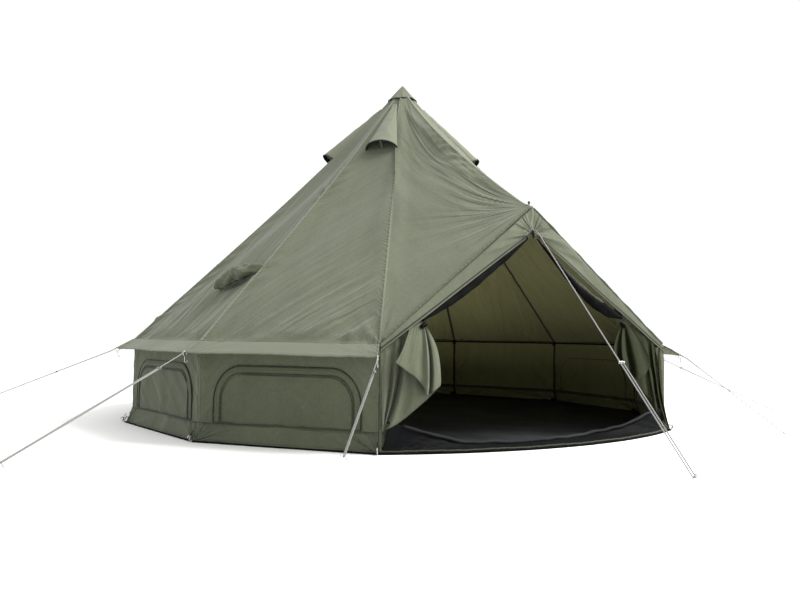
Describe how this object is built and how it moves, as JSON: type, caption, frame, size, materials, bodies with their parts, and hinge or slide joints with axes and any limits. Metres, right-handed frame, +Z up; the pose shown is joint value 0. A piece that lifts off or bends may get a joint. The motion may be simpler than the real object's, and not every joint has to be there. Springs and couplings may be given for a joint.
{
  "type": "bell tent",
  "caption": "Bell tent for use with a stove: conical canopy on a centre pole, low wall with zipped windows, A-shaped porch with open doorway, vent hoods, groundsheet and guy ropes.",
  "frame": {"origin": "point on the ground under the middle of the centre pole, on the groundsheet's underside", "axes": "+Z up, the doorway faces -Y, +X to the right of someone who looks along +Y into the tent"},
  "size_m": [7.6925, 6.1554, 3.2553],
  "materials": {
    "roof_canvas": "olive woven canvas, matt",
    "cap_canvas": "olive woven canvas, reinforced",
    "wall_canvas": "dark olive woven canvas, matt",
    "door_canvas": "olive woven canvas, soft folds",
    "window_canvas": "dark olive woven canvas",
    "groundsheet_fabric": "black coated fabric, slight sheen",
    "insect_net": "black fine net, rolled up",
    "heat_proof_fabric": "coated glass cloth, dark grey",
    "galvanised_steel": "galvanised",
    "runner_metal": "bright, satin",
    "black_plastic": "moulded, matt",
    "vent_batten": "stiff strip",
    "guy_rope": "off-white braided rope"
  },
  "bodies": {
    "tent": {"roof_canopy": "roof_canvas", "porch_roof_left": "roof_canvas", "porch_roof_right": "roof_canvas", "stove_jack_cover": "roof_canvas", "vent_hood_0": "roof_canvas", "vent_hood_2": "roof_canvas", "vent_hood_6": "roof_canvas", "vent_hood_8": "roof_canvas", "apex_cap": "cap_canvas", "wall_left": "wall_canvas", "wall_back": "wall_canvas", "wall_right": "wall_canvas", "door_flap_left": "door_canvas", "door_flap_right": "door_canvas", "window_cover_0": "window_canvas", "window_cover_1": "window_canvas", "window_cover_7": "window_canvas", "window_cover_8": "window_canvas", "groundsheet": "groundsheet_fabric", "mesh_roll_left": "insect_net", "mesh_roll_right": "insect_net", "stove_jack": "heat_proof_fabric", "pole_lower": "galvanised_steel", "pole_upper": "galvanised_steel", "porch_pole_left": "galvanised_steel", "porch_pole_right": "galvanised_steel", "corner_peg_0": "galvanised_steel", "corner_peg_1": "galvanised_steel", "corner_peg_2": "galvanised_steel", "corner_peg_7": "galvanised_steel", "corner_peg_8": "galvanised_steel", "corner_peg_9": "galvanised_steel", "guy_peg_0": "galvanised_steel", "guy_peg_1": "galvanised_steel", "guy_peg_2": "galvanised_steel", "guy_peg_8": "galvanised_steel", "guy_peg_9": "galvanised_steel", "guy_peg_front": "galvanised_steel", "pole_foot": "black_plastic", "porch_hub": "black_plastic", "guy_rope_0": "guy_rope", "guy_rope_1": "guy_rope", "guy_rope_2": "guy_rope", "guy_rope_8": "guy_rope", "guy_rope_9": "guy_rope", "guy_rope_front": "guy_rope"},
    "runner_0": {"guy_runner_0": "runner_metal"},
    "runner_1": {"guy_runner_1": "runner_metal"},
    "runner_2": {"guy_runner_2": "runner_metal"},
    "runner_8": {"guy_runner_8": "runner_metal"},
    "runner_9": {"guy_runner_9": "runner_metal"},
    "runner_front": {"guy_runner_front": "runner_metal"},
    "slider_0": {"zip_slider_0": "runner_metal"},
    "slider_1": {"zip_slider_1": "runner_metal"},
    "slider_7": {"zip_slider_7": "runner_metal"},
    "slider_8": {"zip_slider_8": "runner_metal"},
    "prop_0": {"vent_prop_0": "vent_batten"},
    "prop_2": {"vent_prop_2": "vent_batten"},
    "prop_6": {"vent_prop_6": "vent_batten"},
    "prop_8": {"vent_prop_8": "vent_batten"}
  },
  "joints": [
    {"name": "runner_0_slide", "type": "slide", "parent": "tent", "child": "runner_0", "axis": [-0.3619, 0.0124, -0.9321], "range_m": [0, 0.44]},
    {"name": "runner_1_slide", "type": "slide", "parent": "tent", "child": "runner_1", "axis": [-0.8291, -0.3548, -0.4322], "range_m": [0, 1.04]},
    {"name": "runner_2_slide", "type": "slide", "parent": "tent", "child": "runner_2", "axis": [-0.9103, 0.1469, -0.3869], "range_m": [0, 0.93]},
    {"name": "runner_8_slide", "type": "slide", "parent": "tent", "child": "runner_8", "axis": [0.8478, -0.3628, -0.3869], "range_m": [0, 1.02]},
    {"name": "runner_9_slide", "type": "slide", "parent": "tent", "child": "runner_9", "axis": [0.4422, -0.6434, -0.6249], "range_m": [0, 0.4]},
    {"name": "runner_front_slide", "type": "slide", "parent": "tent", "child": "runner_front", "axis": [-0.1642, -0.7213, -0.6728], "range_m": [0, 0.76]},
    {"name": "slider_0_slide", "type": "slide", "parent": "tent", "child": "slider_0", "axis": [0, 0, 1], "range_m": [0, 0.09]},
    {"name": "slider_1_slide", "type": "slide", "parent": "tent", "child": "slider_1", "axis": [0, 0, 1], "range_m": [0, 0.09]},
    {"name": "slider_7_slide", "type": "slide", "parent": "tent", "child": "slider_7", "axis": [0, 0, 1], "range_m": [0, 0.09]},
    {"name": "slider_8_slide", "type": "slide", "parent": "tent", "child": "slider_8", "axis": [0, 0, 1], "range_m": [0, 0.09]},
    {"name": "prop_0_fold", "type": "hinge", "parent": "tent", "child": "prop_0", "pos_m": [-0.49397, -0.46944, 2.45295], "axis": [-0.6338, 0.7735, 0], "range_deg": [-80, 0]},
    {"name": "prop_2_fold", "type": "hinge", "parent": "tent", "child": "prop_2", "pos_m": [-0.63565, 0.24561, 2.45295], "axis": [0.4279, 0.9038, 0], "range_deg": [-80, 0]},
    {"name": "prop_6_fold", "type": "hinge", "parent": "tent", "child": "prop_6", "pos_m": [0.59287, 0.33599, 2.45295], "axis": [0.4279, -0.9038, 0], "range_deg": [-80, 0]},
    {"name": "prop_8_fold", "type": "hinge", "parent": "tent", "child": "prop_8", "pos_m": [0.55736, -0.39209, 2.45295], "axis": [-0.6338, -0.7735, 0], "range_deg": [-80, 0]}
  ]
}
